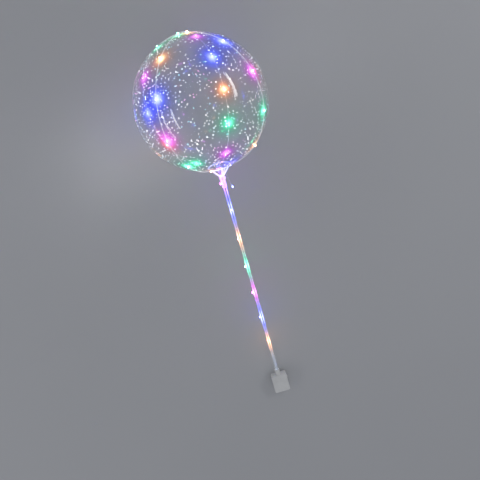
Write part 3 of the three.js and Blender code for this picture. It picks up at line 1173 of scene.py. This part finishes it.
def beadForm(kit, given):
    # drops strung on the route at an even pitch, pushed out from what the wire lies on
    index = kit.index()
    isLast = kit.math("GREATER_THAN", index, kit.minus(given["Bead Count"], 1.5))
    gone = kit.math("MULTIPLY_ADD", index, given["Bead Pitch"], given["Bead Lead"])
    gone = kit.math("MULTIPLY_ADD", isLast, given["End Gap"], gone)
    outward = kit.out("GeometryNodeInputNamedAttribute", {"Name": "outward"}, data_type="FLOAT_VECTOR")
    sample = kit.add("GeometryNodeSampleCurve", {
        "Curves": kit.curveFrom(given["Geometry"]), "Length": gone, "Value": outward,
    }, mode="LENGTH", data_type="FLOAT_VECTOR").outputs
    strung = kit.out("GeometryNodeSetPosition", {
        "Geometry": kit.row(given["Bead Count"]),
        "Position": sample["Position"],
        "Offset": kit.scaled(sample[0], given["Bead Outset"]),
    })
    ball = kit.out("GeometryNodeMeshUVSphere", {
        "Segments": beadShape["segments"], "Rings": beadShape["rings"], "Radius": 1.0,
    })
    drop = kit.out("GeometryNodeSetShadeSmooth", {"Geometry": ball})
    aim = kit.out("FunctionNodeAlignRotationToVector", {"Vector": sample["Tangent"]}, axis="Z")
    size = kit.vector(given["Radius"], given["Radius"], kit.times(given["Length"], 0.5))
    return kit.copies(strung, drop, aim, size)


def lightFinish(name, settings):
    # the lamp's own colour, read from the mesh, paler where the chip shows through
    white = settings["white"]
    material, kit, shader = newFinish(name, {
        "Emission Strength": settings["strength"], "Transmission Weight": settings["seeThrough"],
    })
    grain = kit.grain(beadShape["toneScale"], 2.0)
    share = kit.mapped(grain, *grainSpan, white * beadShape["leastWhite"], white)
    pale = kit.mixed(share, kit.stored("lampColour"), (1, 1, 1, 1))
    kit.link(pale, shader.inputs["Base Color"])
    kit.link(pale, shader.inputs["Emission Color"])
    addMarks(kit, shader, beadShape["marks"])
    if not settings["seeThrough"]:
        material.cycles.emission_sampling = "FRONT"
    return material


def makeBeads(name, settings, finishName):
    beads = growForm(routeLine(name), name + "Row", beadForm, lightFinish(finishName, settings), {
        "End Gap": float(endGap),
        **inputsFrom(lightString, ("beadLead", "beadPitch", "beadOutset"), ("beadCount",)),
        **inputsFrom(settings, ("radius", "length")),
    })
    each = len(beads.data.vertices) // lightString["beadCount"]
    storeColours(beads.data, "lampColour", np.repeat(beadColours, each, axis=0))
    handOver(beads, "light_string")


makeBeads("lightDrops", dropShape, "resinDrop")
makeBeads("lightChips", chipShape, "litChip")

# The battery box with its slide switch, and its lid with a patch of grip ridges.
caseShape = {
    "edge": 0.7,
    "flatAngle": 1,
    "edgeAngle": 40,
    "creaseAngle": 35,
    "lidThickness": 2.0,
    "lidTop": 10.3,
    "ridges": 6,
    "ridgePitch": 2.6,
    "ridgeLength": 22.0,
    "ridgeRadius": 0.75,
    "ridgeSink": 0.35,
    "ridgeInset": 8.0,
    "ridgeSteps": (24, 12),
    "ridgeFullness": (1.02, 16.0),
    "switchFrame": (0.9, 6.0, 13.0),
    "switchRim": 0.9,
    "switchKnob": (2.2, 3.2, 4.6),
    "switchStation": 20.0,
    "switchSlide": 2.6,
    "knobSink": 0.4,
    "knobRib": 0.5,
    "knobRibPitch": 1.2,
    "knobRibMargin": 0.6,
    "switchEdge": 0.14,
    "marks": (900.0, 0.32, 0.5, 0.25, 0.2),
    "toneScale": 24.0,
    "tones": [(0.3, (0.8, 0.8, 0.785, 1)), (0.7, (0.9, 0.9, 0.885, 1))],
}
boxLow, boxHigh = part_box("battery_box")
lidLow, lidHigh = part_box("battery_lid")
boxEnd = boxTop + lengthAlong(lidLow, lidHigh, caseShape["lidThickness"])


def easeEdges(piece, width, segments):
    ease = piece.modifiers.new("ease", "BEVEL")
    ease.width = width * milli
    ease.segments = segments
    return ease


def ridgeForm(kit, given):
    # rods rounded off at their ends, one step apart
    steps, sides = caseShape["ridgeSteps"]
    full, lateness = caseShape["ridgeFullness"]
    fullness = kit.minus(full, kit.math("POWER", kit.fromMiddle(), lateness))
    fullness = kit.math("POWER", fullness, 0.5)
    bar = kit.shapedRod(kit.curveFrom(given["Geometry"]), steps, fullness, given["Ridge Radius"], sides)
    return kit.copies(kit.row(given["Ridges"], given["Step"]), bar)


def makeRidges(material):
    settings = caseShape
    station = boxEnd - settings["ridgeInset"] - settings["ridgePitch"] * (settings["ridges"] - 1)
    middle = place(0, settings["lidTop"] - settings["ridgeRadius"] * settings["ridgeSink"], station)
    half = rightward * settings["ridgeLength"] / 2 * milli
    bar = newPiece("lidRidges", [middle - half, middle + half], [], [(0, 1)])
    return smoothShade(growForm(bar, "gripRidges", ridgeForm, material, {
        "Step": tuple(footward * settings["ridgePitch"] * milli),
        **inputsFrom(settings, ("ridgeRadius",), ("ridges",)),
    }))


def sideBlock(out, up, station, size):
    # a block on the box's right-hand wall; its size is outward, up and along
    centre = place(90, out, station) + upward * up * milli
    faces = [(0, 1, 3, 2), (4, 6, 7, 5), (0, 4, 5, 1), (2, 3, 7, 6), (0, 2, 6, 4), (1, 5, 7, 3)]
    verts = []
    for along in (-0.5, 0.5):
        for rise in (-0.5, 0.5):
            for across in (-0.5, 0.5):
                reachOut = rightward * across * size[0] + upward * rise * size[1]
                verts.append(centre + (reachOut + footward * along * size[2]) * milli)
    return verts, faces


def makeSwitch(material):
    # a slide knob, ribbed for a thumb, standing in a low frame
    settings = caseShape
    station = boxTop + settings["switchStation"]
    knobStation = station - settings["switchSlide"]
    wall = (boxHigh.x - boxLow.x) / 2 / milli
    sunk = wall - settings["knobSink"]
    deep, high, long = settings["switchFrame"]
    rim, rib = settings["switchRim"], settings["knobRib"]
    knob = settings["switchKnob"]
    ribSize = (rib, knob[1] - settings["knobRibMargin"], rib)
    parts = [sideBlock(sunk + knob[0] / 2, 0, knobStation, knob)]
    for side in (-0.5, 0.5):
        parts.append(sideBlock(wall, 0, station + side * (long - rim), (deep, high, rim)))
        parts.append(sideBlock(wall, side * (high - rim), station, (deep, rim, long - 2 * rim)))
    for step in (-1, 0, 1):
        ribStation = knobStation + step * settings["knobRibPitch"]
        parts.append(sideBlock(sunk + knob[0], 0, ribStation, ribSize))
    switch = joinedPiece("slideSwitch", parts)
    easeEdges(switch, settings["switchEdge"], 2)
    switch = settle(switch)
    switch.data.set_sharp_from_angle(angle=math.radians(settings["edgeAngle"]))
    setMaterial(switch, material)
    return switch


def fromSolid(nodeName, name, material):
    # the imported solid's own form, with its sharp edges eased
    settings = caseShape
    piece = bpy.data.objects.new(name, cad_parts[nodeName].data.copy())
    bpy.context.scene.collection.objects.link(piece)
    mesh = bmesh.new()
    mesh.from_mesh(piece.data)
    flat = math.radians(settings["flatAngle"])
    bmesh.ops.remove_doubles(mesh, verts=mesh.verts, dist=10 * mergeGap)
    bmesh.ops.dissolve_limit(mesh, angle_limit=flat, verts=mesh.verts, edges=mesh.edges)
    mesh.to_mesh(piece.data)
    mesh.free()
    ease = easeEdges(piece, settings["edge"], 3)
    ease.limit_method = "ANGLE"
    ease.angle_limit = math.radians(settings["edgeAngle"])
    piece = smoothShade(settle(piece))
    piece.data.set_sharp_from_angle(angle=math.radians(settings["creaseAngle"]))
    setMaterial(piece, material)
    return piece


def caseFinish():
    material, kit, shader = newFinish("whiteCasing")
    addTones(kit, shader, caseShape, 4.0)
    addMarks(kit, shader, caseShape["marks"])
    return material


casing = caseFinish()
handOver(fromSolid("battery_box", "batteryCase", casing), "battery_box")
handOver(makeSwitch(casing), "battery_box")
handOver(fromSolid("battery_lid", "batteryLid", casing), "battery_lid")
handOver(makeRidges(casing), "battery_lid")

# The floor, the light and the camera.
stageSettings = {
    "floorSize": 60.0,
    "floorRoughness": 0.75,
    "toneScale": 1.2,
    "tones": [(0.0, (0.55, 0.555, 0.57, 1)), (1.0, (0.6, 0.605, 0.62, 1))],
    "rightStrip": {"spot": (2.4, 1.1, 1.6), "wide": 0.16, "long": 1.8, "power": 15.0},
    "leftStrip": {"spot": (-2.7, -0.5, 1.3), "wide": 0.15, "long": 2.4, "power": 9.0},
    "stripAim": 0.1,
    "skyColour": (0.9, 0.93, 1.0, 1),
    "skyStrength": 0.55,
    "cameraHeight": 1.66,
    "cameraForward": 0.42,
    "aimAt": (0.0, -0.02, 0.06),
    "roll": -16.5,
    "lens": 42.0,
    "sensorWidth": 36.0,
    "exposure": -0.6,
}


def makeFloor():
    settings = stageSettings
    material, kit, shader = newFinish("paleFloor", {"Roughness": settings["floorRoughness"]})
    addTones(kit, shader, settings, 3.0)
    half = settings["floorSize"] / 2
    corners = [(-half, -half, 0), (half, -half, 0), (half, half, 0), (-half, half, 0)]
    floor = newPiece("floor", corners, [(0, 1, 2, 3)])
    setMaterial(floor, material)


def standAt(holder, spot, back, across):
    # stands a light or camera at a spot, facing away from "back", with "across" to its right
    bpy.context.scene.collection.objects.link(holder)
    holder.location = spot
    holder.rotation_euler = Matrix((across, back.cross(across), back)).transposed().to_euler()


def stripLight(name):
    # a long lamp level with the object and turned toward its line
    settings = stageSettings[name]
    lamp = bpy.data.lights.new(name, "AREA")
    lamp.shape = "RECTANGLE"
    lamp.size = settings["wide"]
    lamp.size_y = settings["long"]
    lamp.energy = settings["power"]
    spot = Vector(settings["spot"])
    back = (spot - Vector((0, spot.y, stageSettings["stripAim"]))).normalized()
    standAt(bpy.data.objects.new(name, lamp), spot, back, Vector((0, 1, 0)).cross(back))


def makeCamera():
    settings = stageSettings
    camera = bpy.data.cameras.new("camera")
    camera.lens = settings["lens"]
    camera.sensor_width = settings["sensorWidth"]
    holder = bpy.data.objects.new("camera", camera)
    spot = Vector((0, settings["cameraForward"], settings["cameraHeight"]))
    back = (spot - Vector(settings["aimAt"])).normalized()
    lean = math.radians(settings["roll"])
    across = Vector((math.cos(lean), math.sin(lean), 0))
    across = (across - back * across.dot(back)).normalized()
    standAt(holder, spot, back, across)
    bpy.context.scene.camera = holder


def makeSky():
    world = bpy.data.worlds.new("studio")
    world.use_nodes = True
    sky = world.node_tree.nodes["Background"].inputs
    sky["Color"].default_value = stageSettings["skyColour"]
    sky["Strength"].default_value = stageSettings["skyStrength"]
    bpy.context.scene.world = world


makeFloor()
stripLight("rightStrip")
stripLight("leftStrip")
makeSky()
makeCamera()
bpy.context.scene.view_settings.view_transform = "Standard"
bpy.context.scene.view_settings.exposure = stageSettings["exposure"]
print("stage set")
